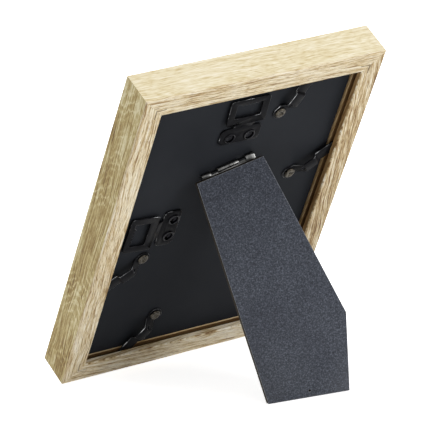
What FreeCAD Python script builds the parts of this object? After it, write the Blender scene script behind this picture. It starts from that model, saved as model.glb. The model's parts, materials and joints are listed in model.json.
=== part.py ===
import FreeCAD, Part
import math
import os

# An easel back photo frame for a 10 x 15 cm picture, standing as in use: it leans back on its strut.
# Every piece is drawn on an upright frame first: X across, Y towards the back, Z up, with the rear
# bottom edge of the frame on the line y = 0, z = 0. The last step leans the whole frame back about
# that edge until the foot of the strut is on the table too. Left and right are as seen from the front.

# Moulding of the four mitred rails
frame_width = 120.0
frame_height = 170.0
frame_depth = 17.2
rail_back_width = 9.8
rail_front_width = 15.0
rail_arris = 0.4
groove_from_back = 2.5
groove_width = 1.6
groove_depth = 4.0
sight_bevel = 1.5

# V nails that hold the mitres together, driven in from the back
nail_leg = 5.0
nail_sheet = 0.4
nail_length = 7.0
nail_inset = 6.3
nail_below_face = 0.1

# Glass, picture insert and backing board in the rebate
glass_thickness = 2.0
glass_clearance = 0.2
insert_thickness = 0.3
insert_clearance = 0.4
panel_thickness = 2.8
panel_recess = 5.0
panel_clearance = 1.2
panel_drop = 1.0
panel_corner = 0.8

# Turn clips: a cranked spring strip that pivots on a rivet and reaches into the groove
clip_sheet = 0.6
clip_length = 23.0
clip_head_radius = 3.4
clip_body_width = 5.4
clip_tip_width = 5.8
clip_ramp_start = 3.2
clip_ramp_run = 3.5
clip_plateau_end = 12.6
clip_step_run = 0.5
clip_step = 1.4
clip_tip_corner = 0.8
clip_hole_radius = 0.8
clip_hole_at = 5.9
clip_bend = 0.5
clip_engagement = 1.7
clip_groove_clearance = 0.1
clip_side_setback = 15.9
clip_side_offset = 17.1
clip_end_setback = 16.8
clip_end_offset = 16.5
clip_swing = 80.0

# Hollow rivets of the clips
running_clearance = 0.05
rivet_shank_radius = 1.2
rivet_roll_radius = 2.55
rivet_roll_height = 0.8
rivet_bore_radius = 0.8
rivet_bore_depth = 1.4
rivet_head_radius = 2.6
rivet_head_height = 0.5

# Hanger plates with a toothed window
hanger_sheet = 0.8
hanger_base_width = 20.4
hanger_base_below = 3.3
hanger_base_above = 5.7
hanger_shoulder_above = 5.4
hanger_neck_width = 9.8
hanger_neck_length = 2.8
hanger_raise = 1.2
hanger_dip = 0.7
hanger_bend = 0.8
hanger_frame_width = 19.8
hanger_frame_height = 14.0
hanger_window_width = 13.0
hanger_window_height = 7.5
hanger_window_above = 3.9
hanger_base_corner = 2.2
hanger_corner = 1.5
hanger_inner_corner = 0.6
hanger_tooth_pitch = 1.9
hanger_tooth_depth = 0.9
hanger_teeth = 5
hanger_eyelet_spacing = 9.9
top_hanger_gap = 5.8
side_hanger_gap = 4.5
top_hanger_offset = 1.7
side_hanger_offset = 0.7
side_hanger_askew = 2.0

# Eyelets of the hanger plates
eyelet_shank_radius = 2.3
eyelet_roll_radius = 2.8
eyelet_roll_height = 0.45
eyelet_bore_radius = 1.95
eyelet_bore_depth = 1.1
eyelet_head_radius = 3.1

# Strut hinge: two leaves rolled round one pin, set askew on the backing board
hinge_tilt = 18.5
hinge_offset = 3.3
hinge_height = 31.45
hinge_sheet = 0.6
hinge_pin_radius = 0.6
hinge_pin_end = 0.3
pin_clearance = 0.04
barrel_panel_gap = 0.1
barrel_length = 25.5
outer_knuckle = 4.2
centre_knuckle = 9.9
notch_clearance = 0.3
panel_leaf_width = 19.0
panel_leaf_length = 13.5
strut_leaf_length = 16.5
stop_gap = 0.02
stop_at = 120.0
stop_slack = 0.1
leaf_rivet_radius = 1.1
leaf_rivet_head_radius = 1.9
leaf_rivet_head_height = 0.6
panel_rivet_spacing = 11.0
panel_rivet_at = 8.5
strut_rivet_spacing = 16.0
strut_rivet_at = 12.0
hinge_corner = 1.5

# Strut board and its cover paper
strut_board = 2.5
strut_paper = 0.3
strut_top_width = 32.0
strut_top_overhang = 3.9
strut_top_gap = 0.3
strut_top_skew = 2.5
strut_left_lean = 3.0
strut_right_lean = 7.3
strut_side_gap = 3.5
strut_foot_gap = 0.5
strut_open_angle = 38.8
strut_hole_radius = 0.6
strut_hole_from_left = 19.5
strut_hole_above_foot = 3.0
strut_closed_margin = 0.5

# One overrun for every cut
overrun = 5.0

# Turns, and how nearly two directions agree to count as parallel
quarter_turn_angle = 90
half_turn_angle = 180
full_turn_angle = 360
parallel_share = 0.999


def vec(x, y, z):
    return FreeCAD.Vector(x, y, z)


def face_of(points):
    """A flat face from a list of corners."""
    return Part.Face(Part.makePolygon(list(points) + [points[0]]))


def prism(points, direction):
    """A flat outline pushed along a direction."""
    return face_of(points).extrude(direction)


def block(low, high):
    size = high - low
    return Part.makeBox(size.x, size.y, size.z, low)


def rod(radius, start, end):
    run = end - start
    return Part.makeCylinder(radius, run.Length, start, run)


def placed(shape, origin, x_axis, z_axis):
    """Carry a shape from its own axes to an origin, with its X and Z along the two given directions."""
    z_dir = vec(z_axis.x, z_axis.y, z_axis.z)
    z_dir.normalize()
    x_dir = vec(x_axis.x, x_axis.y, x_axis.z)
    x_dir.normalize()
    y_dir = z_dir.cross(x_dir)
    matrix = FreeCAD.Matrix(
        x_dir.x, y_dir.x, z_dir.x, origin.x,
        x_dir.y, y_dir.y, z_dir.y, origin.y,
        x_dir.z, y_dir.z, z_dir.z, origin.z)
    result = shape.copy()
    result.Placement = FreeCAD.Placement(matrix).multiply(shape.Placement)
    return result


# Places that follow from the driving sizes
back = vec(0, 1, 0)
right = vec(1, 0, 0)
up = vec(0, 0, 1)
half_width = frame_width / 2
wall_side = half_width - rail_back_width
wall_bottom = rail_back_width
wall_top = frame_height - rail_back_width
panel_face = -panel_recess
panel_front = panel_face - panel_thickness
insert_front = panel_front - insert_thickness
rebate_floor = insert_front - glass_thickness
panel_half_width = wall_side - panel_clearance
panel_half_height = (wall_top - wall_bottom) / 2 - panel_clearance
panel_middle = frame_height / 2 - panel_drop


def rail_profile(length):
    """One rail before mitring: outer edge on z = 0, inward is +Z, back face on y = 0."""
    groove_near = -groove_from_back
    groove_far = groove_near - groove_width
    outline = [
        (0, -rail_arris), (rail_arris, 0),
        (rail_back_width - rail_arris, 0), (rail_back_width, -rail_arris),
        (rail_back_width, groove_near), (rail_back_width - groove_depth, groove_near),
        (rail_back_width - groove_depth, groove_far), (rail_back_width, groove_far),
        (rail_back_width, rebate_floor), (rail_front_width, rebate_floor),
        (rail_front_width, sight_bevel - frame_depth), (rail_front_width - sight_bevel, -frame_depth),
        (rail_arris, -frame_depth), (0, -frame_depth + rail_arris)]
    points = [vec(-length / 2, y, z) for z, y in outline]
    return prism(points, right * length)


def mitre_block(length):
    """The trapezium that a rail keeps when both of its ends are cut at 45 degrees."""
    half = length / 2
    rise = rail_front_width + overrun
    low = -frame_depth - overrun
    corners = [(-half, 0), (half, 0), (half - rise, rise), (rise - half, rise)]
    points = [vec(x, low, z) for x, z in corners]
    return prism(points, back * (frame_depth + overrun * 2))


def make_rail(length, turn, place):
    rail = rail_profile(length).common(mitre_block(length))
    rail.rotate(vec(0, 0, 0), back, turn)
    rail.translate(place)
    return rail


def make_v_nail(side, top):
    """A folded steel chevron across one mitre, its legs along the two rails."""
    corner_z = frame_height if top else 0
    into_z = -1 if top else 1
    apex = vec(side * (half_width - nail_inset), -nail_below_face, corner_z + into_z * nail_inset)
    leg_x = vec(-side, 0, 0)
    leg_z = vec(0, 0, into_z)
    outline = [
        apex, apex + leg_x * nail_leg, apex + leg_x * nail_leg + leg_z * nail_sheet,
        apex + (leg_x + leg_z) * nail_sheet, apex + leg_z * nail_leg + leg_x * nail_sheet,
        apex + leg_z * nail_leg]
    return prism(outline, back * -nail_length)


def sheet_in_rebate(clearance, y_front, thickness, middle):
    half_x = wall_side - clearance
    half_z = (wall_top - wall_bottom) / 2 - clearance
    low = vec(-half_x, y_front, middle - half_z)
    high = vec(half_x, y_front + thickness, middle + half_z)
    return block(low, high)


def bent_sheet(line, sheet, bend, half_span):
    """A strip of even thickness, bent with round corners.

    The line lists (x, z) corners of the underside. At each corner that turns by an angle, both faces
    become arcs about one centre, of radius bend inside and bend + sheet outside. The strip runs from
    -half_span to half_span along Y.
    """
    points = [vec(x, -half_span, z) for x, z in line]
    runs = [b - a for a, b in zip(points, points[1:])]
    for run in runs:
        run.normalize()
    ups = [vec(-run.z, 0, run.x) for run in runs]
    under = []
    over = []
    low_end = points[0]
    high_end = points[0] + ups[0] * sheet
    for corner, into, out, up_in, up_out in zip(points[1:], runs, runs[1:], ups, ups[1:]):
        turn = math.atan2(up_in.dot(out), into.dot(out))
        side = 1 if turn > 0 else -1
        low_radius = bend + sheet if turn > 0 else bend
        setback = low_radius * math.tan(abs(turn) / 2)
        start = corner - into * setback
        end = corner + out * setback
        centre = start + up_in * (low_radius * side)
        to_corner = corner - centre
        to_corner.normalize()
        high_radius = low_radius - sheet * side
        under.append(Part.makeLine(low_end, start))
        under.append(Part.Arc(start, centre + to_corner * low_radius, end).toShape())
        high_start = start + up_in * sheet
        over.append(Part.makeLine(high_end, high_start))
        over.append(Part.Arc(high_start, centre + to_corner * high_radius, end + up_out * sheet).toShape())
        low_end = end
        high_end = end + up_out * sheet
    last = points[-1]
    under.append(Part.makeLine(low_end, last))
    over.append(Part.makeLine(high_end, last + ups[-1] * sheet))
    ends = [Part.makeLine(last, last + ups[-1] * sheet), Part.makeLine(points[0], points[0] + ups[0] * sheet)]
    wire = Part.Wire(Part.__sortEdges__(under + over + ends))
    return Part.Face(wire).extrude(vec(0, half_span * 2, 0))


def upright_edges(shape, direction):
    """Edges of a plate that run through its thickness."""
    found = []
    for edge in shape.Edges:
        span = edge.Vertexes[-1].Point - edge.Vertexes[0].Point
        if span.Length > 0 and abs(span.normalize().dot(direction)) > parallel_share:
            found.append(edge)
    return found


# Turn clips. Their own axes: X along the arm from the rivet, Z away from the backing board.
clip_tip_underside = panel_recess - groove_from_back - clip_groove_clearance - clip_sheet
clip_plateau_underside = clip_tip_underside + clip_step
clip_ramp_end = clip_ramp_start + clip_ramp_run
clip_step_end = clip_plateau_end + clip_step_run


def make_clip():
    """A strip folded up from its round head, level, then stepped down to the tip that enters the groove."""
    line = [
        (-clip_head_radius, running_clearance), (clip_ramp_start, running_clearance),
        (clip_ramp_end, clip_plateau_underside), (clip_plateau_end, clip_plateau_underside),
        (clip_step_end, clip_tip_underside), (clip_length, clip_tip_underside)]
    side_view = bent_sheet(line, clip_sheet, clip_bend, clip_head_radius + overrun)
    tall = clip_plateau_underside + overrun
    body = block(vec(0, -clip_body_width / 2, 0), vec(clip_plateau_end, clip_body_width / 2, tall))
    tip = block(vec(clip_plateau_end, -clip_tip_width / 2, 0), vec(clip_length, clip_tip_width / 2, tall))
    corners = [e for e in upright_edges(tip, up) if e.Vertexes[0].X > clip_step_end]
    tip = tip.makeFillet(clip_tip_corner, corners)
    head = Part.makeCylinder(clip_head_radius, tall)
    plan = head.fuse([body, tip])
    clip = side_view.common(plan)
    hole_end = vec(0, 0, tall)
    rivet_hole = rod(rivet_shank_radius + running_clearance, vec(0, 0, 0), hole_end)
    small_hole = rod(clip_hole_radius, vec(clip_hole_at, 0, 0), vec(clip_hole_at, 0, tall))
    return clip.cut([rivet_hole, small_hole]).removeSplitter()


def clip_arm(wall_distance, to_wall, along_wall):
    """Direction of a clip whose tip stands in the groove by the stated engagement."""
    angle = math.acos((wall_distance + clip_engagement) / clip_length)
    return to_wall * math.cos(angle) + along_wall * math.sin(angle)


clip_places = {}
side_x = panel_half_width - clip_side_setback
end_z = panel_half_height - clip_end_setback
for name, pivot, wall_distance, to_wall, along_wall in (
        ("left", vec(-side_x, panel_face, panel_middle + clip_side_offset), wall_side - side_x, -right, up),
        ("right", vec(side_x, panel_face, panel_middle - clip_side_offset), wall_side - side_x, right, -up),
        ("top", vec(-clip_end_offset, panel_face, panel_middle + end_z),
         wall_top - panel_middle - end_z, up, -right),
        ("bottom", vec(clip_end_offset, panel_face, panel_middle - end_z),
         panel_middle - end_z - wall_bottom, -up, right)):
    # The third value is the line about which a clip turns out of the groove
    turn_line = to_wall.cross(along_wall)
    clip_places[name] = (pivot, clip_arm(wall_distance, to_wall, along_wall), turn_line)


def hollow_rivet(shank, roll, roll_height, bore, bore_depth, head, head_height, through, plate):
    """A hollow rivet on +Z: flush head at the front of the board, rolled rim on the plate at the back."""
    low = -through
    middle = (shank + roll) / 2
    start = vec(0, 0, low)
    points = [
        start, vec(head, 0, low), vec(head, 0, low + head_height), vec(shank, 0, low + head_height),
        vec(shank, 0, plate), vec(roll, 0, plate), vec(roll, 0, plate + roll_height / 2)]
    edges = [Part.makeLine(a, b) for a, b in zip(points, points[1:])]
    crown = vec(middle, 0, plate + roll_height)
    lip = vec(bore, 0, plate + roll_height / 2)
    edges.append(Part.Arc(points[-1], crown, lip).toShape())
    floor = vec(bore, 0, plate - bore_depth)
    centre = vec(0, 0, plate - bore_depth)
    edges.append(Part.makeLine(lip, floor))
    edges.append(Part.makeLine(floor, centre))
    edges.append(Part.makeLine(centre, start))
    profile = Part.Face(Part.Wire(edges))
    return profile.revolve(vec(0, 0, 0), up, full_turn_angle)


def rivet_seat(shank, head, head_height):
    """What a hollow rivet takes out of the backing board: a hole and a flush seat at the front."""
    hole = rod(shank, vec(0, 0, -panel_thickness - overrun), vec(0, 0, overrun))
    seat = rod(head, vec(0, 0, -panel_thickness - overrun), vec(0, 0, head_height - panel_thickness))
    return hole.fuse(seat)


def make_hanger():
    """Own axes: X across, Y towards the rail, Z off the board, origin midway between the eyelets.

    The toothed frame stands off the board at the neck and dips a little towards its far end.
    """
    neck_start = hanger_base_above
    neck_end = neck_start + hanger_neck_length
    frame_end = neck_end + hanger_frame_height
    line = [(-hanger_base_below, 0), (neck_start, 0), (neck_end, hanger_raise),
            (frame_end, hanger_raise - hanger_dip)]
    side_view = bent_sheet(line, hanger_sheet, hanger_bend, hanger_base_width)
    side_view.rotate(vec(0, 0, 0), up, quarter_turn_angle)
    tall = hanger_raise + overrun
    half_base = hanger_base_width / 2
    half_neck = hanger_neck_width / 2
    half_frame = hanger_frame_width / 2
    base = prism([
        vec(-half_base, -hanger_base_below, 0), vec(half_base, -hanger_base_below, 0),
        vec(half_base, hanger_shoulder_above, 0), vec(half_neck, neck_start, 0),
        vec(-half_neck, neck_start, 0), vec(-half_base, hanger_shoulder_above, 0)], up * tall)
    base = base.makeFillet(hanger_base_corner, [e for e in upright_edges(base, up)
                                                if abs(e.Vertexes[0].X) > half_neck])
    neck = block(vec(-half_neck, 0, 0), vec(half_neck, neck_end + hanger_corner, tall))
    rim = block(vec(-half_frame, neck_end, 0), vec(half_frame, frame_end, tall))
    rim = rim.makeFillet(hanger_corner, upright_edges(rim, up))
    plan = base.fuse([neck, rim])
    plate = side_view.common(plan)
    window_low = neck_end + hanger_window_above
    window_high = window_low + hanger_window_height
    half_window = hanger_window_width / 2
    window = block(vec(-half_window, window_low, 0), vec(half_window, window_high, tall))
    window = window.makeFillet(hanger_inner_corner, upright_edges(window, up))
    teeth = []
    for count in range(hanger_teeth):
        start = hanger_tooth_pitch * (count - hanger_teeth / 2)
        teeth.append(prism([
            vec(start, window_high, 0), vec(start + hanger_tooth_pitch, window_high, 0),
            vec(start + hanger_tooth_pitch / 2, window_high - hanger_tooth_depth, 0)], up * tall))
    window = window.cut(teeth)
    half_spacing = hanger_eyelet_spacing / 2
    holes = [rod(eyelet_shank_radius, vec(x, 0, 0), vec(x, 0, tall)) for x in (-half_spacing, half_spacing)]
    return plate.cut([window] + holes).removeSplitter()


askew = math.radians(side_hanger_askew)
hanger_reach = hanger_base_above + hanger_neck_length + hanger_frame_height
hanger_places = {
    "top": (vec(top_hanger_offset, panel_face, wall_top - hanger_reach - top_hanger_gap), -right, back),
    "side": (vec(wall_side - hanger_reach - side_hanger_gap, panel_face, panel_middle - side_hanger_offset),
             up * math.cos(askew) - right * math.sin(askew), back)}

# Strut hinge. Its own axes: X down the strut, Y along the pin, Z away from the backing board.
tilt = math.radians(hinge_tilt)
knuckle_bore = hinge_pin_radius + pin_clearance
knuckle_radius = knuckle_bore + hinge_sheet
axis_height = knuckle_radius + barrel_panel_gap
notch = knuckle_radius + notch_clearance
hinge_point = vec(hinge_offset, panel_face + axis_height, panel_middle + hinge_height)
pin_line = vec(-math.cos(tilt), 0, math.sin(tilt))
down_folded = vec(-math.sin(tilt), 0, -math.cos(tilt))
half_barrel = barrel_length / 2
half_centre = centre_knuckle / 2
board_inner = knuckle_radius
board_outer = board_inner + strut_board
paper_outer = board_outer + strut_paper

# Strut outline in the same axes. The folded strut stays inside the opening of the frame.
top_left = (strut_top_gap, -half_barrel - strut_top_overhang)
skew = math.radians(strut_top_skew)
top_right = (top_left[0] + strut_top_width * math.sin(skew), top_left[1] + strut_top_width * math.cos(skew))
left_slope = -math.tan(math.radians(strut_left_lean))
right_slope = math.tan(math.radians(strut_right_lean))


def left_edge(down):
    return top_left[1] + (down - top_left[0]) * left_slope


def right_edge(down):
    return top_right[1] + (down - top_right[0]) * right_slope


# The left edge ends where the folded foot stands a gap above the bottom rail.
foot_level = wall_bottom + strut_foot_gap - hinge_point.z
left_base = top_left[1] - top_left[0] * left_slope
left_down = (left_base * math.sin(tilt) - foot_level) / (math.cos(tilt) - left_slope * math.sin(tilt))

# The strut opens to its stop, and the frame leans back until that corner reaches the table.
rest_edge = vec(0, -rail_arris, 0)
open_turn = math.radians(strut_open_angle)
down_open = down_folded * math.cos(open_turn) + back * math.sin(open_turn)
out_open = back * math.cos(open_turn) - down_folded * math.sin(open_turn)
foot_corner = hinge_point + down_open * left_down + pin_line * left_edge(left_down) + out_open * board_inner
lean = math.atan2(foot_corner.z - rest_edge.z, foot_corner.y - rest_edge.y)
lean_angle = math.degrees(lean)
table_up = vec(0, -math.sin(lean), math.cos(lean))


def foot_down(along):
    """How far down the inner face meets the table, at a place along the pin."""
    rest = hinge_point + pin_line * along + out_open * board_inner - rest_edge
    return -table_up.dot(rest) / table_up.dot(down_open)


def meet_foot(edge_start, slope):
    """Where a strut edge, given at the pin line with its slope, meets the foot line."""
    foot_start = foot_down(0)
    foot_slope = (foot_down(barrel_length) - foot_start) / barrel_length
    down = (foot_start + foot_slope * edge_start) / (1 - foot_slope * slope)
    return (down, edge_start + down * slope)


# The short right edge is upright when the strut is folded, a gap away from the rail.
upright_slope = -math.tan(tilt)
upright_start = (wall_side - strut_side_gap + hinge_point.x) / math.cos(tilt)
right_base = top_right[1] - top_right[0] * right_slope
knee_down = (upright_start - right_base) / (right_slope - upright_slope)
knee = (knee_down, right_edge(knee_down))
foot_left = meet_foot(left_base, left_slope)
foot_right = meet_foot(upright_start, upright_slope)
strut_outline = [top_left, top_right, knee, foot_right, foot_left]
hole_along = foot_left[1] + strut_hole_from_left
strut_hole = (foot_down(hole_along) - strut_hole_above_foot, hole_along)

# Each outer knuckle ends in a straight tail, off the roll at stop_at degrees from upright when the strut
# is open. The tail meets the backing board there and stops the strut.
stop_turn = math.radians(stop_at)
stop_reach = (axis_height - stop_gap + knuckle_radius * math.cos(stop_turn)) / math.sin(stop_turn)
tail_turn = stop_turn - open_turn
tail_out = vec(-math.sin(tail_turn), 0, math.cos(tail_turn))
tail_along = vec(-math.cos(tail_turn), 0, -math.sin(tail_turn))


def knuckle(start, end, bore):
    outer = rod(knuckle_radius, vec(0, start, 0), vec(0, end, 0))
    return outer.cut(rod(bore, vec(0, start - overrun, 0), vec(0, end + overrun, 0)))


def leaf_rivet_places(spacing, down):
    return [vec(down, -spacing / 2, 0), vec(down, spacing / 2, 0)]


panel_rivets = leaf_rivet_places(panel_rivet_spacing, panel_rivet_at)
strut_rivets = leaf_rivet_places(strut_rivet_spacing, strut_rivet_at)


def make_panel_leaf():
    """Flat on the backing board, with the centre knuckle; drawn folded."""
    low = -axis_height
    high = low + hinge_sheet
    plate = block(vec(notch, -panel_leaf_width / 2, low), vec(panel_leaf_length, panel_leaf_width / 2, high))
    far = [e for e in upright_edges(plate, up) if e.Vertexes[0].X > notch]
    plate = plate.makeFillet(hinge_corner, far)
    tongue = block(vec(0, -half_centre, low), vec(notch + hinge_sheet, half_centre, high))
    leaf = plate.fuse([tongue, knuckle(-half_centre, half_centre, hinge_pin_radius)])
    holes = [rod(leaf_rivet_radius, p - up * overrun, p + up * overrun) for p in panel_rivets]
    return leaf.cut(holes).removeSplitter()


def make_strut_leaf():
    """On the inner face of the strut, with the outer knuckles and the tails that stop the strut."""
    low = knuckle_bore
    plate = block(vec(notch, -half_barrel, low), vec(strut_leaf_length, half_barrel, knuckle_radius))
    far = [e for e in upright_edges(plate, up) if e.Vertexes[0].X > notch]
    plate = plate.makeFillet(hinge_corner, far)
    parts = []
    for outer, inner in ((-half_barrel, outer_knuckle - half_barrel), (half_barrel - outer_knuckle, half_barrel)):
        parts.append(knuckle(outer, inner, knuckle_bore))
        parts.append(block(vec(0, outer, low), vec(notch + hinge_sheet, inner, knuckle_radius)))
        near = tail_out * knuckle_bore + vec(0, outer + stop_slack, 0)
        far_side = tail_out * knuckle_radius + vec(0, outer + stop_slack, 0)
        section = [near, far_side, far_side + tail_along * stop_reach, near + tail_along * stop_reach]
        parts.append(prism(section, vec(0, outer_knuckle - stop_slack * 2, 0)))
    leaf = plate.fuse(parts)
    holes = [rod(leaf_rivet_radius, p - up * overrun, p + up * overrun) for p in strut_rivets]
    return leaf.cut(holes).removeSplitter()


def solid_rivet(place, head_level, head_side, tail_level):
    """Domed head against a leaf, shank into the board behind it, tail flush with the far face."""
    start = place + up * head_level
    shank = rod(leaf_rivet_radius, start, place + up * tail_level)
    dome = Part.makeSphere((leaf_rivet_head_radius ** 2 + leaf_rivet_head_height ** 2)
                           / (leaf_rivet_head_height * 2))
    sink = dome.BoundBox.ZMax - leaf_rivet_head_height
    dome.translate(start - up * (sink * head_side))
    if head_side > 0:
        keep = block(start - vec(overrun, overrun, 0), start + vec(overrun, overrun, overrun))
    else:
        keep = block(start - vec(overrun, overrun, overrun), start + vec(overrun, overrun, 0))
    return shank.fuse(dome.common(keep))


def strut_sheet(inner, outer):
    """The strut's outline between two levels, with its small hole."""
    points = [vec(down, along, inner) for down, along in strut_outline]
    sheet = prism(points, up * (outer - inner))
    hole = rod(strut_hole_radius, vec(strut_hole[0], strut_hole[1], inner - overrun),
               vec(strut_hole[0], strut_hole[1], outer + overrun))
    return sheet.cut(hole)


def on_board(shape):
    """From the hinge's own axes, folded, to the frame."""
    return placed(shape, hinge_point, down_folded, back)


def on_strut(shape):
    """From the hinge's own axes to the frame, opened to its stop."""
    return placed(shape, hinge_point, down_open, out_open)


def build():
    """Every piece on the upright frame, by name."""
    nodes = {}
    nails = {}
    for side_name, side in (("left", -1), ("right", 1)):
        nails["top_%s_v_nail" % side_name] = make_v_nail(side, True)
        nails["bottom_%s_v_nail" % side_name] = make_v_nail(side, False)
    rails = {
        "bottom_rail": make_rail(frame_width, 0, vec(0, 0, 0)),
        "top_rail": make_rail(frame_width, half_turn_angle, vec(0, 0, frame_height)),
        "left_rail": make_rail(frame_height, quarter_turn_angle, vec(-half_width, 0, frame_height / 2)),
        "right_rail": make_rail(frame_height, -quarter_turn_angle, vec(half_width, 0, frame_height / 2))}
    slots = []
    for nail in nails.values():
        slot = nail.copy()
        slot.translate(back * nail_below_face)
        slots.append(nail.fuse(slot))
    for name, rail in rails.items():
        nodes[name] = rail.cut(slots)
    nodes.update(nails)
    nodes["glass_pane"] = sheet_in_rebate(glass_clearance, rebate_floor, glass_thickness, frame_height / 2)
    nodes["picture_insert"] = sheet_in_rebate(insert_clearance, insert_front, insert_thickness,
                                              frame_height / 2)

    # Backing board, with a hole or seat for everything riveted to it
    panel = sheet_in_rebate(panel_clearance, panel_front, panel_thickness, panel_middle)
    panel = panel.makeFillet(panel_corner, upright_edges(panel, back))
    cuts = []
    clip = make_clip()
    clip_rivet = hollow_rivet(rivet_shank_radius, rivet_roll_radius, rivet_roll_height, rivet_bore_radius,
                              rivet_bore_depth, rivet_head_radius, rivet_head_height, panel_thickness,
                              clip_sheet + running_clearance * 2)
    clip_seat = rivet_seat(rivet_shank_radius, rivet_head_radius, rivet_head_height)
    for name, (pivot, arm, turn_line) in clip_places.items():
        nodes["turn_clip_" + name] = placed(clip, pivot, arm, back)
        nodes["clip_rivet_" + name] = placed(clip_rivet, pivot, arm, back)
        cuts.append(placed(clip_seat, pivot, arm, back))
    hanger = make_hanger()
    eyelet = hollow_rivet(eyelet_shank_radius, eyelet_roll_radius, eyelet_roll_height, eyelet_bore_radius,
                          eyelet_bore_depth, eyelet_head_radius, rivet_head_height, panel_thickness,
                          hanger_sheet)
    eyelet_seat = rivet_seat(eyelet_shank_radius, eyelet_head_radius, rivet_head_height)
    half_spacing = hanger_eyelet_spacing / 2
    for name, (origin, across, off) in hanger_places.items():
        nodes["%s_hanger_plate" % name] = placed(hanger, origin, across, off)
        for number, x in ((1, -half_spacing), (2, half_spacing)):
            spot = origin + across * x
            nodes["%s_hanger_eyelet_%d" % (name, number)] = placed(eyelet, spot, across, off)
            cuts.append(placed(eyelet_seat, spot, across, off))
    leaf_top = hinge_sheet - axis_height
    for number, place in enumerate(panel_rivets, 1):
        rivet = solid_rivet(place, leaf_top, 1, -axis_height - panel_thickness)
        nodes["panel_leaf_rivet_%d" % number] = on_board(rivet)
        hole = rod(leaf_rivet_radius, place - up * (panel_thickness + overrun), place + up * overrun)
        cuts.append(on_board(hole))
    nodes["backing_board"] = panel.cut(cuts)
    nodes["hinge_panel_leaf"] = on_board(make_panel_leaf())
    half_pin = half_barrel + hinge_pin_end
    pin = rod(hinge_pin_radius, vec(0, -half_pin, 0), vec(0, half_pin, 0))
    nodes["hinge_pin"] = on_board(pin)

    # Strut, drawn open
    nodes["hinge_strut_leaf"] = on_strut(make_strut_leaf())
    board = strut_sheet(board_inner, board_outer)
    for number, place in enumerate(strut_rivets, 1):
        board = board.cut(rod(leaf_rivet_radius, place, place + up * (board_outer + overrun)))
        rivet = solid_rivet(place, knuckle_bore, -1, board_outer)
        nodes["strut_leaf_rivet_%d" % number] = on_strut(rivet)
    nodes["strut_board"] = on_strut(board)
    nodes["strut_cover_paper"] = on_strut(strut_sheet(board_outer, paper_outer))
    return nodes


def stand(nodes):
    """Lean everything back about the rear bottom edge, then centre it over the origin."""
    turned = {}
    for name, shape in nodes.items():
        piece = shape.copy()
        piece.rotate(rest_edge, right, -lean_angle)
        turned[name] = piece
    box = Part.makeCompound(list(turned.values())).optimalBoundingBox(False, False)
    shift = vec(-(box.XMin + box.XMax) / 2, -(box.YMin + box.YMax) / 2, 0)
    for piece in turned.values():
        piece.translate(shift)
    return turned, shift


def world_point(point, shift):
    turned = FreeCAD.Rotation(right, -lean_angle).multVec(point - rest_edge)
    return turned + rest_edge + shift


nodes = build()
standing, shift = stand(nodes)
os.makedirs("parts", exist_ok=True)
for name, shape in standing.items():
    shape.exportStep("parts/%s.step" % name)
    if not shape.isValid() or len(shape.Solids) != 1:
        print("check this piece:", name, shape.isValid(), len(shape.Solids))

# Joint places and ranges, in metres and degrees, for the record
metre = 1000.0
axis_turn = FreeCAD.Rotation(right, -lean_angle)
print("pieces:", len(standing))
print("shift of the rear bottom edge:", [round(v, 4) for v in shift])
print("lean:", round(lean_angle, 4), "stop tails:", round(stop_reach, 3))
print("strut outline:", [(round(d, 2), round(a, 2)) for d, a in strut_outline])
print("strut_hinge pos_m:", [round(v / metre, 7) for v in world_point(hinge_point, shift)],
      "axis:", [round(v, 7) for v in axis_turn.multVec(pin_line)],
      "closes to:", round(strut_open_angle - strut_closed_margin, 2))
for name, (pivot, arm, turn_line) in clip_places.items():
    print("turn_clip_%s pos_m:" % name, [round(v / metre, 7) for v in world_point(pivot, shift)],
          "axis:", [round(v, 7) for v in axis_turn.multVec(turn_line)], "turns by:", clip_swing)
box = Part.makeCompound(list(standing.values())).optimalBoundingBox(False, False)
print("box:", [round(v, 3) for v in (box.XMin, box.YMin, box.ZMin, box.XMax, box.YMax, box.ZMax)])
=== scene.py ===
"""An easel back photo frame seen from behind: oak-print rails, a black backing board, fittings of
blackened strip and a flocked strut.

The solids come packed. This script eases their edges, turns their rivets and gives them their
finishes, then sets them on a white table in soft light.
"""
import json
import math
from types import SimpleNamespace

import bmesh
import bpy
import numpy as np
from mathutils import Matrix, Vector


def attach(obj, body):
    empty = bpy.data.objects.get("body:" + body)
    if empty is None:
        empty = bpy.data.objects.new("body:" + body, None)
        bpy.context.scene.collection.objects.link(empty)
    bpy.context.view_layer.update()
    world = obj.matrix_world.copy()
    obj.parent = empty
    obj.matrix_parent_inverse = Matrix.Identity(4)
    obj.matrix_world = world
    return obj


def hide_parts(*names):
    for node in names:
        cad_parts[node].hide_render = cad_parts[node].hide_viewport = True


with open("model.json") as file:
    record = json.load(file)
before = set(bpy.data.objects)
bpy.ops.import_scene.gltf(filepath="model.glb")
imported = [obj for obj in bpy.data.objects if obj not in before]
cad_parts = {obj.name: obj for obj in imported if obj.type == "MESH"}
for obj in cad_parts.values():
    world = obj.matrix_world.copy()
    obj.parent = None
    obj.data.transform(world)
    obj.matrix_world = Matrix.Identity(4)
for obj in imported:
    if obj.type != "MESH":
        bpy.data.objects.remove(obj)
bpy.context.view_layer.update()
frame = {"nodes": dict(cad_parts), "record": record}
record = frame["record"]
nodes = frame["nodes"]
mounts = {mount["name"]: mount for mount in record["mounts"]}
riding = {name: body for body, members in record["behaviour"]["bodies"].items()
          for name in members}

MM = 0.001

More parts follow.
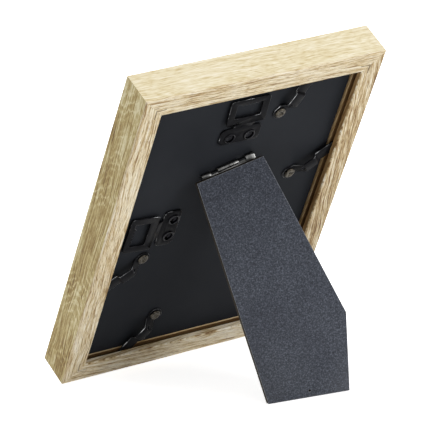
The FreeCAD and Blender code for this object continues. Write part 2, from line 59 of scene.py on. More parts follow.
# The moulding stands upright in its own measure, in millimetres: x across, y towards the back with
# the back face at 0, z up from the outer bottom edge. The record says how that measure leans.
BACK_NORMAL = Vector(mounts["moulding_back_face"]["axis"])
LEAN = math.atan2(-BACK_NORMAL.z, BACK_NORMAL.y)
REST = Vector(mounts["frame_rest_edge"]["pos_m"])
REST_DEPTH = -0.4
OUT_WIDTH = 120.0
OUT_HEIGHT = 170.0
BACK_WIDTH = 9.8
PANEL_FACE = -5.0
PANEL_FRONT = -7.8
TURN = np.array([[1.0, 0.0, 0.0],
                 [0.0, math.cos(LEAN), math.sin(LEAN)],
                 [0.0, -math.sin(LEAN), math.cos(LEAN)]])


def standing(points):
    """Upright millimetres to metres on the table: turn back by the lean about the rest edge."""
    from_rest = np.asarray(points, dtype=float) - np.array([0.0, REST_DEPTH, 0.0])
    return from_rest @ TURN.T * MM + np.array(REST)


def linear(code):
    """An sRGB hex colour as linear red, green, blue and full alpha."""
    parts = np.array([int(code[i:i + 2], 16) for i in (1, 3, 5)]) / 255.0
    low = parts / 12.92
    high = ((parts + 0.055) / 1.055) ** 2.4
    return tuple(np.where(parts <= 0.04045, low, high)) + (1.0,)


def add(tree, kind, inputs=(), stops=(), **settings):
    """Add one node with its settings and its links.

    inputs are values in the order of the node's sockets, or values by socket name. A value may be
    plain, another node's output, or a whole node, which stands for its first working output.
    stops are the (position, hex colour) pairs of a colour ramp.
    """
    made = tree.nodes.new("ShaderNode" + kind)
    for key, value in settings.items():
        setattr(made, key, value)
    for _ in stops[2:]:
        made.color_ramp.elements.new(0.5)
    for number, (position, code) in enumerate(stops):
        made.color_ramp.elements[number].position = position
        made.color_ramp.elements[number].color = linear(code)
    for key, value in inputs.items() if isinstance(inputs, dict) else enumerate(inputs):
        if isinstance(value, bpy.types.Node):
            value = next(socket for socket in value.outputs if socket.enabled)
        if isinstance(value, bpy.types.NodeSocket):
            tree.links.new(value, made.inputs[key])
        else:
            made.inputs[key].default_value = value
    return made


def new_material(name):
    """A material and its node tree, still empty."""
    material = bpy.data.materials.new(name)
    material.use_nodes = True
    material.node_tree.nodes.clear()
    return material, material.node_tree


def surface(tree, sockets):
    """End a material in one glossy-over-diffuse shader, fed as the sockets say."""
    shader = add(tree, "BsdfPrincipled", sockets)
    add(tree, "OutputMaterial", {"Surface": shader})


def upright_place(tree):
    """Object coordinates turned back to the upright measure, in millimetres.

    They count from the rest edge, so a depth is 0.4 mm more than in the moulding's own measure.
    """
    place = add(tree, "TexCoord")
    return add(tree, "Mapping", {"Vector": place.outputs["Object"], "Location": tuple(REST),
                                 "Rotation": (-LEAN, 0.0, 0.0), "Scale": (MM, MM, MM)},
               vector_type="TEXTURE")


def pattern(tree, place, per_mm, detail, rough=0.5):
    """Noise with so many features to a millimetre, one number for all axes or one for each."""
    scaled = add(tree, "Mapping", {"Vector": place, "Scale": np.broadcast_to(per_mm, 3).tolist()})
    return add(tree, "TexNoise", {"Vector": scaled, "Scale": 1.0, "Detail": detail,
                                  "Roughness": rough})


def weighted(tree, *shares):
    """The sum of some values, each times its share."""
    total = 0.0
    for value, share in shares:
        total = add(tree, "Math", (value, share, total), operation="MULTIPLY_ADD")
    return total


def sharpened(tree, value, middle, contrast, lift=0.0):
    """A value's distance from its middle times the contrast, set on the middle again and lifted."""
    apart = add(tree, "Math", (value, middle), operation="SUBTRACT")
    return add(tree, "Math", (apart, contrast, middle + lift), operation="MULTIPLY_ADD")


# Tones of the printed foil, from its dark lines to its pale wood
FACE_TONES = ((0.38, "#7E5F36"), (0.44, "#B89C6E"), (0.49, "#D8C69F"), (0.55, "#ECE1C7"),
              (0.62, "#F5EEDD"))
PORE_TONES = ((0.57, "#FFFFFF"), (0.66, "#9C7C4C"))
QUIET_TONES = ((0.38, "#C7B284"), (0.45, "#D9CAA2"), (0.52, "#E4D9BA"), (0.60, "#EFE7D3"))
HEART_TONES = ((0.38, "#735826"), (0.44, "#957A40"), (0.50, "#AD965D"), (0.57, "#C9B985"),
               (0.66, "#E2D8B2"))
LOW_WALL_TONES = ((0.38, "#A98654"), (0.48, "#D6B584"), (0.60, "#EDD6AB"))
# Browner copy of the wall foil: painted shade on the upper inner wall
PAINTED_SHADE_WALL_TONES = ((0.38, "#866238"), (0.48, "#A98455"), (0.60, "#C4A273"))
# Bare board of the groove, darker as painted shade of the recess
SAWN_BOARD_AND_SHADE_TONES = ((0.3, "#4C341C"), (0.7, "#755733"))

# Patterns of the foil: one over their length and width in millimetres, and a third number that
# keeps them unlike each other; then the noise's detail and roughness
FOIL_PATTERNS = {
    # Sap streaks 45 mm long and 1.4 mm wide, and fibre lines
    "streaks": ((1 / 45, 1 / 1.4, 1.0), 3.0, 0.6),
    "lines": ((1 / 10, 1 / 0.4, 1.0), 3.0, 0.6),
    # Pores are nearer 0.1 mm wide in oak, and drawn coarser so that they show
    "pores": ((1 / 4, 1 / 0.3, 2.0), 2.0, 0.5),
    "mottle": ((1 / 2.5, 1 / 1.0, 4.0), 4.0, 0.6),
    # Short dashes of the quiet outer sides
    "dashes": ((1 / 5, 1 / 0.7, 8.0), 2.0, 0.5),
    # Strands, flecks and brown and pale fields of the heart board
    "strands": ((1 / 22, 1 / 0.8, 5.0), 3.0, 0.6),
    "flecks": ((1 / 2.2, 1 / 0.5, 6.0), 3.0, 0.7),
    "fields": ((1 / 30, 1 / 7, 3.0), 4.0, 0.65)}

# Where the foil changes, as the start and end of each change in millimetres: depths count from the
# rest edge, and widths across the back face from the outer side. Painted shade darkens the upper
# inner wall, between the groove and the back face. Bare board, darkened with painted shade, starts
# 0.4 mm down in the groove and reaches 0.4 mm over its lower edge.
SIDE_DEPTH = (-0.25, -0.45)
SIDE_WIDTH = (0.1, 0.3)
WALL_WIDTH = (BACK_WIDTH - 0.45, BACK_WIDTH - 0.3)
WALL_TOP = (-0.1, -0.3)
WALL_FOOT = (-10.3, -10.1)
PAINTED_SHADE_DEPTH = (-3.8, -2.8)
GROOVE_MIDDLE = 3.3
GROOVE_EDGE = (0.82, 0.78)
GROOVE_REACH = (BACK_WIDTH - 4.3, BACK_WIDTH - 4.1)


def unrolled_foil(tree, along, outer, shift, slope):
    """The foil's own measure on a rail, in millimetres.

    The run goes along the rail, and the girth across the back face and on down the outer side, as
    the foil is wrapped. The flat place is (run, girth, shift). On the printed sheet the girth also
    wavers, by 4 mm times a noise 30 mm long, and leaves the rail's line by slope times the run.
    """
    waver_height = 4.0
    place = upright_place(tree)
    split = add(tree, "SeparateXYZ", (place,)).outputs
    if along == "x":
        run = split["X"]
        width = split["Z"] if outer < 0 else add(tree, "Math", (OUT_HEIGHT, split["Z"]),
                                                 operation="SUBTRACT")
    else:
        run = split["Z"]
        side = add(tree, "Math", (split["X"], float(outer)), operation="MULTIPLY")
        width = add(tree, "Math", (OUT_WIDTH / 2, side), operation="SUBTRACT")
    girth = add(tree, "Math", (width, split["Y"]), operation="ADD")
    flat = add(tree, "CombineXYZ", (run, girth, shift))
    waver = pattern(tree, flat, (1 / 30, 1 / 12, 1.0), 2.0)
    bent = add(tree, "Math", (waver, waver_height, girth), operation="MULTIPLY_ADD")
    bent = add(tree, "Math", (run, slope, bent), operation="MULTIPLY_ADD")
    sheet = add(tree, "CombineXYZ", (run, bent, shift))
    return SimpleNamespace(place=place, depth=split["Y"], width=width, run=run, girth=girth,
                           flat=flat, sheet=sheet)


def slanting_rings(tree, foil):
    """Growth rings cut aslant on the outer side: their pale crests, and how much they show where.

    crest = (0.5 + 0.5 * sin(2 pi * climb / spacing + wander * noise)) ** 3, and climb = run +
    steepness * sqrt(d * d + rounding), where d is the distance from the middle of the side.
    """
    spacing, steepness, wander = 5.0, 1.3, 22.0
    side_middle, rounding = 6.0, 5.0
    thin_from, thick_from, most = 0.44, 0.58, 0.10
    noise = pattern(tree, foil.flat, (1 / 14, 1 / 7, 3.0), 4.0, 0.7)
    distance = add(tree, "Math", (foil.girth, side_middle), operation="ADD")
    arch = add(tree, "Math", (distance, distance, rounding), operation="MULTIPLY_ADD")
    arch = add(tree, "Math", (arch,), operation="SQRT")
    climb = add(tree, "Math", (arch, steepness, foil.run), operation="MULTIPLY_ADD")
    turn = add(tree, "Math", (noise, wander), operation="MULTIPLY")
    turn = add(tree, "Math", (climb, 2 * math.pi / spacing, turn), operation="MULTIPLY_ADD")
    wave = add(tree, "Math", (turn,), operation="SINE")
    wave = add(tree, "Math", (wave, 0.5, 0.5), operation="MULTIPLY_ADD")
    crest = add(tree, "Math", (wave, 3.0), operation="POWER")
    zone = pattern(tree, foil.flat, (1 / 22, 1 / 22, 9.0), 2.0)
    return crest, add(tree, "MapRange", (zone, thin_from, thick_from, 0.0, most))


def oak_print_foil(name, along, outer, shift, slope, contrast, tone, painted_wall_shade=1.0):
    """Oak-print foil wrapped on fibreboard: paper printed with sawn oak under a satin lacquer.

    It gives the eye cream wood with thin tan and pale lines that waver along the rail and short
    dark pores. The outer side of the upright rails shows the browner heart of the board, with pale
    rings in places; the other outer sides are quieter and paler. Contrast and tone set how strong
    and how light a rail's lines are. The upper inner wall is darkened with painted shade, as much
    as the rail's painted wall shade says, and the groove sawn into it shows bare board darkened
    with painted shade.
    """
    pore_strength, ring_shade = 0.75, -0.35
    body_middle, heart_middle, heart_contrast = 0.5, 0.51, 1.45
    material, tree = new_material(name)
    foil = unrolled_foil(tree, along, outer, shift, slope)
    streaks, lines, pores, mottle = (pattern(tree, foil.sheet, *FOIL_PATTERNS[kind])
                                     for kind in ("streaks", "lines", "pores", "mottle"))
    body = weighted(tree, (lines, 0.55), (streaks, 0.35), (mottle, 0.10))
    body = sharpened(tree, body, body_middle, contrast, tone)
    face = add(tree, "ValToRGB", (body,), stops=FACE_TONES)
    dots = add(tree, "ValToRGB", (pores,), stops=PORE_TONES)
    cover = add(tree, "Mix", {"Factor": pore_strength, "A": face, "B": dots},
                data_type="RGBA", blend_type="MULTIPLY")

    crest, zone = slanting_rings(tree, foil)
    if along == "z":
        strands, flecks = (pattern(tree, foil.sheet, *FOIL_PATTERNS[kind])
                           for kind in ("strands", "flecks"))
        fields = pattern(tree, foil.flat, *FOIL_PATTERNS["fields"])
        heart = weighted(tree, (strands, 0.48), (fields, 0.32), (flecks, 0.22))
        heart = sharpened(tree, heart, heart_middle, heart_contrast)
        heart = add(tree, "Math", (crest, zone, heart), operation="MULTIPLY_ADD")
        outer_side = add(tree, "ValToRGB", (heart,), stops=HEART_TONES)
    else:
        dashes = pattern(tree, foil.sheet, *FOIL_PATTERNS["dashes"])
        calm = weighted(tree, (lines, 0.35), (streaks, 0.3), (dashes, 0.35))
        darker = add(tree, "Math", (crest, ring_shade), operation="MULTIPLY")
        calm = add(tree, "Math", (darker, zone, calm), operation="MULTIPLY_ADD")
        outer_side = add(tree, "ValToRGB", (calm,), stops=QUIET_TONES)
    past_arris = add(tree, "MapRange", (foil.depth, *SIDE_DEPTH))
    at_edge = add(tree, "MapRange", (foil.width, *SIDE_WIDTH, 1.0, 0.0))
    on_side = add(tree, "Math", (past_arris, at_edge), operation="MULTIPLY")
    cover = add(tree, "Mix", {"Factor": on_side, "A": cover, "B": outer_side}, data_type="RGBA")

    low_wall = add(tree, "ValToRGB", (body,), stops=LOW_WALL_TONES)
    # Painted shade: a browner copy of the foil on the inner wall between the groove and the back face
    painted_shade_wall = add(tree, "ValToRGB", (body,), stops=PAINTED_SHADE_WALL_TONES)
    painted_shade_wall = add(tree, "Mix", {"Factor": painted_wall_shade, "A": face, "B": painted_shade_wall}, data_type="RGBA")
    upper = add(tree, "MapRange", (foil.depth, *PAINTED_SHADE_DEPTH))
    wall = add(tree, "Mix", {"Factor": upper, "A": low_wall, "B": painted_shade_wall}, data_type="RGBA")
    past_face = add(tree, "MapRange", (foil.width, *WALL_WIDTH))
    under_top = add(tree, "MapRange", (foil.depth, *WALL_TOP))
    over_foot = add(tree, "MapRange", (foil.depth, *WALL_FOOT))
    on_wall = add(tree, "Math", (past_face, under_top), operation="MULTIPLY")
    on_wall = add(tree, "Math", (on_wall, over_foot), operation="MULTIPLY")
    colour = add(tree, "Mix", {"Factor": on_wall, "A": cover, "B": wall}, data_type="RGBA")

    # Bare board in the saw groove, darkened with painted shade where the groove's shade falls
    speck = pattern(tree, foil.place, 3.0, 3.0)
    bare = add(tree, "ValToRGB", (speck,), stops=SAWN_BOARD_AND_SHADE_TONES)
    from_groove = add(tree, "Math", (foil.depth, GROOVE_MIDDLE), operation="ADD")
    from_groove = add(tree, "Math", (from_groove,), operation="ABSOLUTE")
    groove_board_and_shade_mask = add(tree, "MapRange", (from_groove, *GROOVE_EDGE))
    in_reach = add(tree, "MapRange", (foil.width, *GROOVE_REACH))
    groove_board_and_shade_mask = add(tree, "Math", (groove_board_and_shade_mask, in_reach), operation="MULTIPLY")
    colour = add(tree, "Mix", {"Factor": groove_board_and_shade_mask, "A": colour, "B": bare}, data_type="RGBA")

    relief = weighted(tree, (lines, 0.4), (pores, -0.6))
    bump = add(tree, "Bump", {"Height": relief, "Distance": 0.06 * MM})
    surface(tree, {"Base Color": colour, "Roughness": 0.55, "Specular IOR Level": 0.3,
                   "Normal": bump})
    return material


def lacquered_fibreboard():
    """Black lacquered fibreboard, rolled on: a smooth near-black sheet with faint orange peel."""
    material, tree = new_material("black_lacquered_fibreboard")
    place = upright_place(tree)
    cloud = pattern(tree, place, 1 / 30, 3.0)
    colour = add(tree, "ValToRGB", (cloud,), stops=((0.3, "#212327"), (0.7, "#26282C")))
    # Orange peel has bumps of about 0.8 mm, a few hundredths high
    peel = pattern(tree, place, 1 / 0.8, 2.0)
    bump = add(tree, "Bump", {"Height": peel, "Distance": 0.02 * MM})
    surface(tree, {"Base Color": colour, "Roughness": 0.6, "Specular IOR Level": 0.05,
                   "Normal": bump})
    return material


def flocked_paper():
    """Flocked velour paper: short dark grey-blue fibres, which scatter light in fine specks."""
    material, tree = new_material("flocked_velour_paper")
    place = upright_place(tree)
    # Tufts are about 0.3 mm across; they are drawn at 0.7 mm so that they show at this size
    tufts = pattern(tree, place, 1.5, 3.0, 0.75)
    speckle = add(tree, "ValToRGB", (tufts,),
                  stops=((0.34, "#262930"), (0.5, "#3A3E47"), (0.66, "#626772")))
    cloud = pattern(tree, place, 1 / 18, 3.0)
    patch = add(tree, "ValToRGB", (cloud,), stops=((0.3, "#E6E6EA"), (0.7, "#FFFFFF")))
    colour = add(tree, "Mix", {"Factor": 1.0, "A": speckle, "B": patch},
                 data_type="RGBA", blend_type="MULTIPLY")
    bump = add(tree, "Bump", {"Height": tufts, "Distance": 0.12 * MM})
    surface(tree, {"Base Color": colour, "Roughness": 0.85, "Specular IOR Level": 0.25,
                   "Sheen Weight": 0.25, "Sheen Roughness": 0.5, "Normal": bump})
    return material


def cut_paper_edge():
    """Cut edge of the flocked paper: the paper's own grey fibre, lighter than the flock."""
    material, tree = new_material("cut_edge_of_flocked_paper")
    # Fibres are far finer; their clumps are drawn at 0.5 mm so that they show
    fibre = pattern(tree, upright_place(tree), 2.0, 3.0)
    colour = add(tree, "ValToRGB", (fibre,), stops=((0.35, "#5E6168"), (0.65, "#A3A6AC")))
    surface(tree, {"Base Color": colour, "Roughness": 0.9, "Specular IOR Level": 0.1})
    return material


def raw_hardboard():
    """Hardboard, pressed wet and sawn: dark brown felted fibre with paler and darker tufts."""
    material, tree = new_material("sawn_dark_hardboard")
    # Fibre bundles some 0.8 mm long
    fibre = pattern(tree, upright_place(tree), 1.2, 5.0, 0.7)
    colour = add(tree, "ValToRGB", (fibre,),
                 stops=((0.3, "#1C1814"), (0.5, "#2C261D"), (0.75, "#463B2B")))
    bump = add(tree, "Bump", {"Height": fibre, "Distance": 0.1 * MM})
    surface(tree, {"Base Color": colour, "Roughness": 0.8, "Specular IOR Level": 0.3,
                   "Normal": bump})
    return material


def blackened_strip():
    """Pressed spring strip, chemically blackened: a near-black skin of oxide on the metal.

    Handling rubs it glossier in patches some 2 mm wide, and rolling leaves a fine ripple.
    """
    material, tree = new_material("blackened_spring_strip")
    place = upright_place(tree)
    rub = pattern(tree, place, 0.5, 4.0)
    colour = add(tree, "ValToRGB", (rub,), stops=((0.3, "#0C0C0E"), (0.75, "#18181B")))
    gloss = add(tree, "MapRange", (rub, 0.3, 0.7, 0.34, 0.5))
    ripple = pattern(tree, place, 1 / 0.5, 2.0)
    bump = add(tree, "Bump", {"Height": ripple, "Distance": 0.008 * MM})
    surface(tree, {"Base Color": colour, "Roughness": gloss, "Specular IOR Level": 0.04,
                   "Normal": bump})
    return material


def worn_strip_arris(name, tones):
    """Worn arris of the blackened strip: bare steel where hands took the black off, black else."""
    material, tree = new_material(name)
    # Worn and black stretches some 6 mm long
    wear = pattern(tree, upright_place(tree), 0.16, 3.0, 0.6)
    colour = add(tree, "ValToRGB", (wear,), stops=tones)
    surface(tree, {"Base Color": colour, "Metallic": 1.0, "Roughness": 0.36})
    return material


def plated_metal(name, dark, light, low, high):
    """Plated or blackened metal with handling marks: tone and gloss drift over a millimetre."""
    material, tree = new_material(name)
    drift = pattern(tree, upright_place(tree), 0.9, 4.0)
    colour = add(tree, "ValToRGB", (drift,), stops=((0.3, dark), (0.7, light)))
    gloss = add(tree, "MapRange", (drift, 0.3, 0.7, low, high))
    surface(tree, {"Base Color": colour, "Metallic": 1.0, "Roughness": gloss})
    return material


def float_glass():
    """Float glass, cut and left sharp: clear, with the faintest green."""
    material, tree = new_material("float_glass")
    surface(tree, {"Base Color": linear("#FAFDFC"), "Roughness": 0.02, "IOR": 1.52,
                   "Transmission Weight": 1.0})
    return material


def paper_card():
    """Uncoated card: matt off-white paper with laid lines 1 mm apart."""
    material, tree = new_material("uncoated_laid_card")
    place = upright_place(tree)
    # Clouds of fibre some 0.7 mm across
    fibre = pattern(tree, place, 1.5, 4.0)
    colour = add(tree, "ValToRGB", (fibre,), stops=((0.3, "#E4E1D8"), (0.7, "#F0EDE5")))
    split = add(tree, "SeparateXYZ", (place,)).outputs
    lines = add(tree, "Math", (split["Z"], 2 * math.pi), operation="MULTIPLY")
    lines = add(tree, "Math", (lines,), operation="SINE")
    bump = add(tree, "Bump", {"Height": lines, "Distance": 0.01 * MM})
    surface(tree, {"Base Color": colour, "Roughness": 0.9, "Specular IOR Level": 0.2,
                   "Normal": bump})
    return material


# Each rail is cut from another length of foil: its own shift, slope, contrast and tone
oak = {
    "top_rail": oak_print_foil("oak_print_foil_top", "x", 1, shift=3.0, slope=0.02,
                               contrast=1.0, tone=0.0),
    # The bottom rail's upper inner wall takes little painted shade: the lamps light it
    "bottom_rail": oak_print_foil("oak_print_foil_bottom", "x", -1, shift=17.0, slope=-0.05,
                                  contrast=1.35, tone=0.02, painted_wall_shade=0.2),
    "left_rail": oak_print_foil("oak_print_foil_left", "z", -1, shift=29.0, slope=-0.12,
                                contrast=1.1, tone=-0.038),
    "right_rail": oak_print_foil("oak_print_foil_right", "z", 1, shift=41.0, slope=0.03,
                                 contrast=1.1, tone=0.0)}
black_board = lacquered_fibreboard()
velour = flocked_paper()
cut_paper = cut_paper_edge()
hardboard = raw_hardboard()
black_strip = blackened_strip()
clip_arris = worn_strip_arris("worn_clip_arris",
                              ((0.44, "#18181A"), (0.54, "#606163"), (0.64, "#C4C5C7")))
hanger_arris = worn_strip_arris("worn_hanger_arris",
                                ((0.46, "#101012"), (0.56, "#2A2A2C"), (0.66, "#98999B")))
aged_plate = plated_metal("aged_nickel_plate", "#181614", "#565148", 0.2, 0.36)
black_nickel = plated_metal("black_nickel_eyelet", "#121214", "#1E1E21", 0.12, 0.22)
hinge_nickel = plated_metal("nickel_plated_hinge_leaf", "#4C4C4B", "#828281", 0.26, 0.36)
steel_wire = plated_metal("blackened_steel_wire", "#161617", "#2C2C2E", 0.25, 0.4)
nail_strip = plated_metal("rolled_steel_nail_strip", "#4E4537", "#7C705C", 0.4, 0.55)
glass = float_glass()
card = paper_card()


def dress(obj, material):
    """Give an object this one finish."""
    obj.data.materials.clear()
    obj.data.materials.append(material)


def stand_in(node_name, suffix, mesh, material):
    """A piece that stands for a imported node, rides as it does and has its material slot."""
    piece = bpy.data.objects.new(node_name + suffix, mesh)
    bpy.context.scene.collection.objects.link(piece)
    dress(piece, material)
    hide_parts(node_name)
    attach(piece, riding[node_name])
    return piece


# Points closer than this are one; facets flatter than this are one face; sharper is an arris
WELD = 0.002 * MM
FLAT_ANGLE = math.radians(1.0)
ARRIS_ANGLE = math.radians(28)


def eased_copy(node_name, material, arris, width_mm):
    """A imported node's own solid, joined up and with every arris eased by a small round.

    The rounds get the arris's material, the worn or cut edge of what the piece is made of.
    """
    mesh = nodes[node_name].data.copy()
    shell = bmesh.new()
    shell.from_mesh(mesh)
    bmesh.ops.remove_doubles(shell, verts=shell.verts, dist=WELD)
    bmesh.ops.dissolve_limit(shell, angle_limit=FLAT_ANGLE, verts=shell.verts, edges=shell.edges)
    shell.to_mesh(mesh)
    shell.free()
    mesh.polygons.foreach_set("use_smooth", [True] * len(mesh.polygons))
    piece = stand_in(node_name, "_eased", mesh, material)
    mesh.materials.append(arris)
    bevel = piece.modifiers.new("eased_arris", "BEVEL")
    bevel.width = width_mm * MM
    bevel.segments = 2
    bevel.material = 1
    bevel.limit_method = "ANGLE"
    bevel.angle_limit = ARRIS_ANGLE
    bevel.harden_normals = True
    # Some edges are shorter than twice the round, and a clamp would thin it away everywhere
    bevel.use_clamp_overlap = False


def points_of(mesh):
    """A mesh's points as rows of x, y and z."""
    points = np.empty(len(mesh.vertices) * 3)
    mesh.vertices.foreach_get("co", points)
    return points.reshape(-1, 3)


def middle_of(node_name):
    """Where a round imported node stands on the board: x and z of its middle, upright millimetres."""
    upright = (points_of(nodes[node_name].data) - np.array(REST)) / MM @ TURN
    middle = (upright.min(axis=0) + upright.max(axis=0)) / 2
    return middle[0], middle[2]


def slackened_sheet(node_name, material, slack_mm):
    """A packed sheet with its two faces drawn in, so that it lies loose between what holds it.

    Every point moves along the board's normal towards the sheet's middle plane, by the slack.
    """
    mesh = nodes[node_name].data.copy()
    points = points_of(mesh)
    level = points @ np.array(BACK_NORMAL)
    middle = (level.min() + level.max()) / 2
    points -= np.sign(level - middle)[:, None] * slack_mm * MM * np.array(BACK_NORMAL)
    mesh.vertices.foreach_set("co", points.ravel())
    stand_in(node_name, "_slackened", mesh, material)


def turned_rivet(node_name, profile, material):
    """A hollow rivet as a surface of revolution.

    The profile lists (radius, height) from the middle of the front head over the rolled rim and
    down the bore to its middle; each ring is radius * (cos a, sin a) in the plane of the board, at
    that height along the board's normal. The first and last points lie on the axis, so both ends
    close.
    """
    around = 48
    centre = middle_of(node_name)
    profile = np.asarray(profile, dtype=float)
    angles = np.linspace(0.0, 2 * np.pi, around, endpoint=False)
    rings = profile[1:-1]
    x = centre[0] + rings[:, :1] * np.cos(angles)
    z = centre[1] + rings[:, :1] * np.sin(angles)
    y = PANEL_FACE + np.repeat(rings[:, 1:], around, axis=1)
    grid = np.stack([x, y, z], axis=-1).reshape(-1, 3)
    ends = np.stack([np.full(2, centre[0]), PANEL_FACE + profile[[0, -1], 1],
                     np.full(2, centre[1])], axis=-1)
    points = standing(np.concatenate([grid, ends]))
    rows = len(rings)
    ring, step = np.meshgrid(np.arange(rows - 1), np.arange(around), indexing="ij")
    after = (step + 1) % around
    quads = np.stack([ring * around + step, (ring + 1) * around + step,
                      (ring + 1) * around + after, ring * around + after], axis=-1).reshape(-1, 4)
    turn = np.arange(around)
    turn_after = (turn + 1) % around
    front_middle = np.full(around, rows * around)
    front = np.stack([front_middle, turn, turn_after], axis=-1)
    last_row = (rows - 1) * around
    rear = np.stack([front_middle + 1, last_row + turn_after, last_row + turn], axis=-1)
    mesh = bpy.data.meshes.new(node_name + "_turned")
    mesh.from_pydata(points.tolist(), [], quads.tolist() + front.tolist() + rear.tolist())
    mesh.polygons.foreach_set("use_smooth", [True] * len(mesh.polygons))
    shell = bmesh.new()
    shell.from_mesh(mesh)
    bmesh.ops.recalc_face_normals(shell, faces=shell.faces)
    shell.to_mesh(mesh)
    shell.free()
    stand_in(node_name, "_turned", mesh, material)


def rivet_profile(shank, rim, bore, bottom, seat, rise, head):
    """Radius and height of a rivet in millimetres, heights from the board's face.

    Front head, shank, a rim rolled outward over half a turn, which starts at the seat and stands
    up by the rise, and the bore down to its bottom.
    """
    head_height = 0.5
    head_round, head_edge = 0.15, 0.12
    rim_round, rim_start, straight = 0.12, 0.12, 0.35
    bore_round, dish = 0.2, 0.05
    low = PANEL_FRONT - PANEL_FACE
    curl = np.linspace(0.0, np.pi, 15)
    middle = (rim + bore) / 2
    half = (rim - bore) / 2
    rolled = np.stack([middle + half * np.cos(curl),
                       seat + straight * rise + (1 - straight) * rise * np.sin(curl)], axis=-1)
    lead = [(0.0, low), (head - head_round, low), (head, low + head_edge),
            (head, low + head_height), (shank, low + head_height), (shank, seat),
            (rim - rim_round, seat), (rim, seat + rim_start * rise)]
    down = [(bore, bottom + bore_round), (bore - bore_round, bottom), (0.0, bottom - dish)]
    return lead + rolled.tolist() + down


# Fittings of spring strip get a fine round on every cut edge, which is what catches the light
for name in ("turn_clip_left", "turn_clip_right", "turn_clip_top", "turn_clip_bottom"):
    eased_copy(name, black_strip, clip_arris, width_mm=0.15)
for name in ("top_hanger_plate", "side_hanger_plate"):
    eased_copy(name, black_strip, hanger_arris, width_mm=0.12)
for name in ("hinge_panel_leaf", "hinge_strut_leaf"):
    eased_copy(name, hinge_nickel, hinge_nickel, width_mm=0.06)
eased_copy("strut_board", hardboard, hardboard, width_mm=0.2)
eased_copy("strut_cover_paper", velour, cut_paper, width_mm=0.12)

# Hollow rivets of the clips, nearly closed by their rims, and the wider eyelets of the hangers
clip_rivet = rivet_profile(shank=1.2, rim=2.55, bore=0.6, bottom=1.15, seat=0.7, rise=0.8,
                           head=2.6)
eyelet = rivet_profile(shank=2.3, rim=2.8, bore=1.95, bottom=0.1, seat=0.8, rise=0.45, head=3.1)
for name in ("left", "right", "top", "bottom"):
    turned_rivet("clip_rivet_" + name, clip_rivet, aged_plate)
for name in ("top_hanger_eyelet_1", "top_hanger_eyelet_2",
             "side_hanger_eyelet_1", "side_hanger_eyelet_2"):
    turned_rivet(name, eyelet, black_nickel)

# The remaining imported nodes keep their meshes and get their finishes
for name, material in oak.items():
    dress(nodes[name], material)
for name in nodes:
    if name.endswith("v_nail"):
        dress(nodes[name], nail_strip)
    if "leaf_rivet" in name:
        dress(nodes[name], aged_plate)
dress(nodes["hinge_pin"], steel_wire)
dress(nodes["backing_board"], black_board)
dress(nodes["glass_pane"], glass)
# Glass and card that share a plane look as if the card were clear, so the card lies loose
slackened_sheet("picture_insert", card, slack_mm=0.04)

# Photographer's view: a long lens about 1.6 m away, fitted to the moulding's corners. Place and
# directions are in the upright measure.
EYE = np.array([785.623247, 848.948581, 1123.364441])
VIEW_RIGHT = np.array([-0.840107, 0.490331, 0.231939])
VIEW_DOWN = np.array([0.200087, 0.677581, -0.707707])
VIEW_AHEAD = np.array([-0.504168, -0.548142, -0.667349])
FOCAL_PIXELS = 3593.4
IMAGE_PIXELS = 430.0
SENSOR_WIDTH = 36.0
camera_data = bpy.data.cameras.new("photo_view")
camera_data.sensor_width = SENSOR_WIDTH
camera_data.lens = FOCAL_PIXELS * SENSOR_WIDTH / IMAGE_PIXELS
camera_data.clip_end = 20.0
camera = bpy.data.objects.new("photo_view", camera_data)
axes = np.stack([TURN @ VIEW_RIGHT, TURN @ -VIEW_DOWN, TURN @ -VIEW_AHEAD], axis=1)
placement = Matrix(axes.tolist()).to_4x4()
placement.translation = Vector(standing(EYE))
camera.matrix_world = placement
bpy.context.scene.collection.objects.link(camera)
bpy.context.scene.camera = camera

WHITE = (1.0, 1.0, 1.0, 1.0)


def seen_plainly(tree):
    """1 for rays from the eye, by reflection or through glass, and 0 for rays that carry light."""
    path = add(tree, "LightPath").outputs
    bounced = add(tree, "Math", (path["Is Glossy Ray"], path["Is Transmission Ray"]),
                  operation="MAXIMUM")
    return add(tree, "Math", (path["Is Camera Ray"], bounced), operation="MAXIMUM")


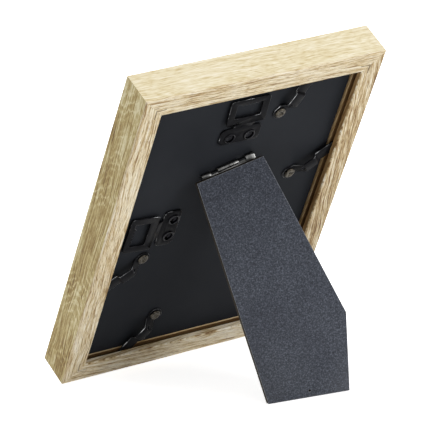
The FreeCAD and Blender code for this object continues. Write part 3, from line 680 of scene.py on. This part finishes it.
# A white table: a plain diffuse top that keeps the shadow, lifted to white for the eye alone
TABLE_REACH = 3.0
TABLE_LIFT = 0.78
table_finish, table_tree = new_material("white_laminate_table")
plain = add(table_tree, "BsdfDiffuse", {"Color": linear("#F4F4F4")})
lift = add(table_tree, "Emission", {"Color": WHITE, "Strength": TABLE_LIFT})
both = add(table_tree, "AddShader", (plain, lift))
chosen = add(table_tree, "MixShader", (seen_plainly(table_tree), plain, both))
add(table_tree, "OutputMaterial", {"Surface": chosen})
floor_mesh = bpy.data.meshes.new("white_table")
corners = [(x * TABLE_REACH, y * TABLE_REACH, 0.0) for x, y in ((-1, -1), (1, -1), (1, 1), (-1, 1))]
floor_mesh.from_pydata(corners, [], [(0, 1, 2, 3)])
floor = bpy.data.objects.new("white_table", floor_mesh)
bpy.context.scene.collection.objects.link(floor)
dress(floor, table_finish)

# White surroundings: pure white to the eye and in reflections, plain fill light elsewhere
FILL_STRENGTH = 0.5
world = bpy.data.worlds.new("white_room")
bpy.context.scene.world = world
world.use_nodes = True
room = world.node_tree
room.nodes.clear()
fill = add(room, "Background", {"Color": WHITE, "Strength": FILL_STRENGTH})
white = add(room, "Background", {"Color": WHITE, "Strength": 1.0})
mixed = add(room, "MixShader", (seen_plainly(room), fill, white))
add(room, "OutputWorld", {"Surface": mixed})

# Soft square lamps: name, place in metres, size in metres and power in watts
LAMP_AIM = Vector((0.0, 0.0, 0.08))
for name, place, size, power in (("overhead_softbox", (-0.3, 0.2, 1.6), 1.0, 9.5),
                                 ("back_key", (-0.9, 1.3, 0.55), 0.4, 9.0),
                                 ("front_fill", (0.3, -1.4, 0.9), 1.0, 8.0)):
    lamp_data = bpy.data.lights.new(name, "AREA")
    lamp_data.energy = power
    lamp_data.size = size
    lamp = bpy.data.objects.new(name, lamp_data)
    lamp.location = place
    lamp.rotation_euler = (LAMP_AIM - Vector(place)).to_track_quat("-Z", "Y").to_euler()
    bpy.context.scene.collection.objects.link(lamp)

bpy.context.scene.view_settings.view_transform = "Standard"

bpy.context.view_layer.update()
